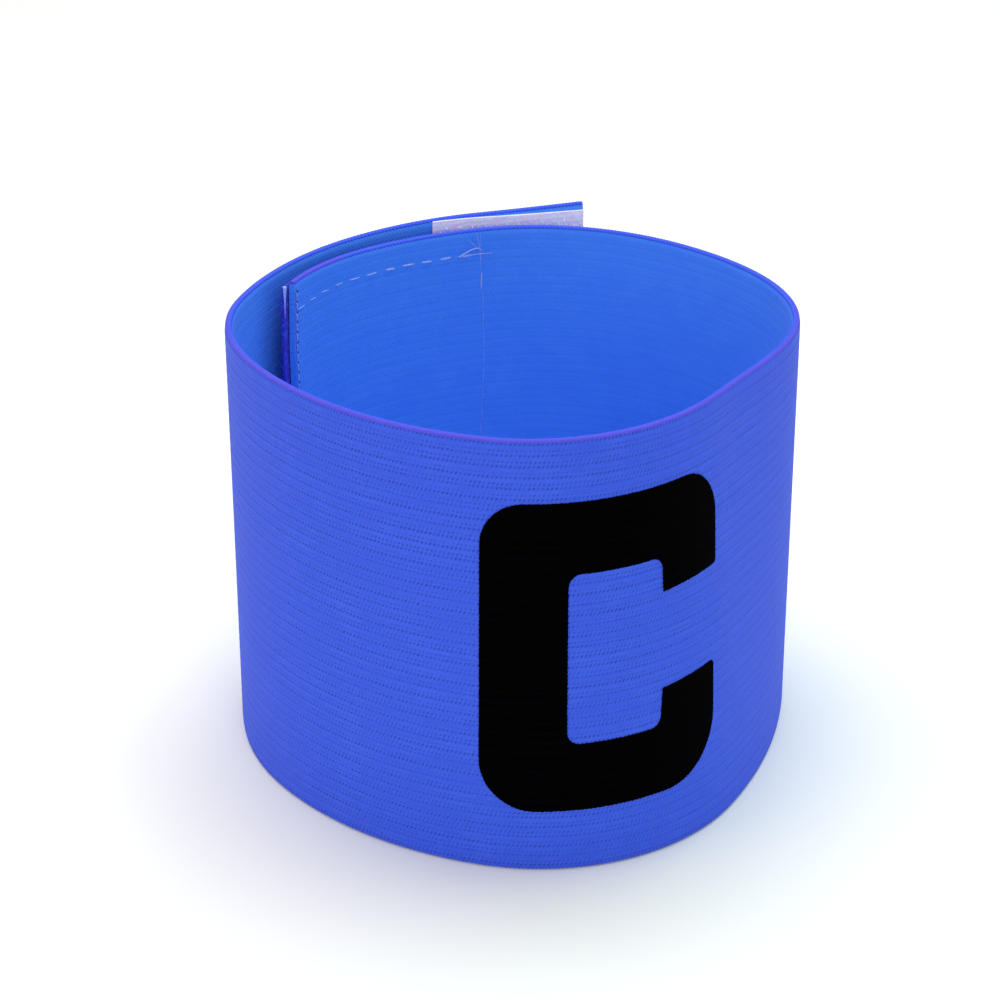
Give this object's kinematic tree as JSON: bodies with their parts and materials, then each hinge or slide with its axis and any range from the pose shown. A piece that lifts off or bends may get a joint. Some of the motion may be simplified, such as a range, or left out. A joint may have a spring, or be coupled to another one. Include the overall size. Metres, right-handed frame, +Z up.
{
  "type": "captain armband",
  "caption": "Wide woven elastic armband closed into a standing ring by a hook and a loop patch, with a black block letter C on the front.",
  "frame": {"origin": "on the surface that the band stands on, under the middle of the whole part's box", "axes": "+Z up along the ring's axis, -Y towards the middle of the letter, +X to the right of someone who reads it"},
  "size_m": [0.093, 0.096, 0.0714],
  "materials": {
    "woven_elastic": "ribbed woven elastic, royal blue, matt with a faint sheen",
    "loop_tape": "brushed loop pile on knitted tape, pale blue",
    "hook_tape": "moulded nylon hooks on woven tape, pale lilac",
    "letter_ink": "black print, matt",
    "white_thread": "spun sewing thread, pale",
    "blue_thread": "spun sewing thread, blue"
  },
  "bodies": {
    "root": {"elastic_band": "woven_elastic", "loop_patch": "loop_tape", "hook_patch": "hook_tape", "letter_c": "letter_ink"}
  },
  "joints": []
}
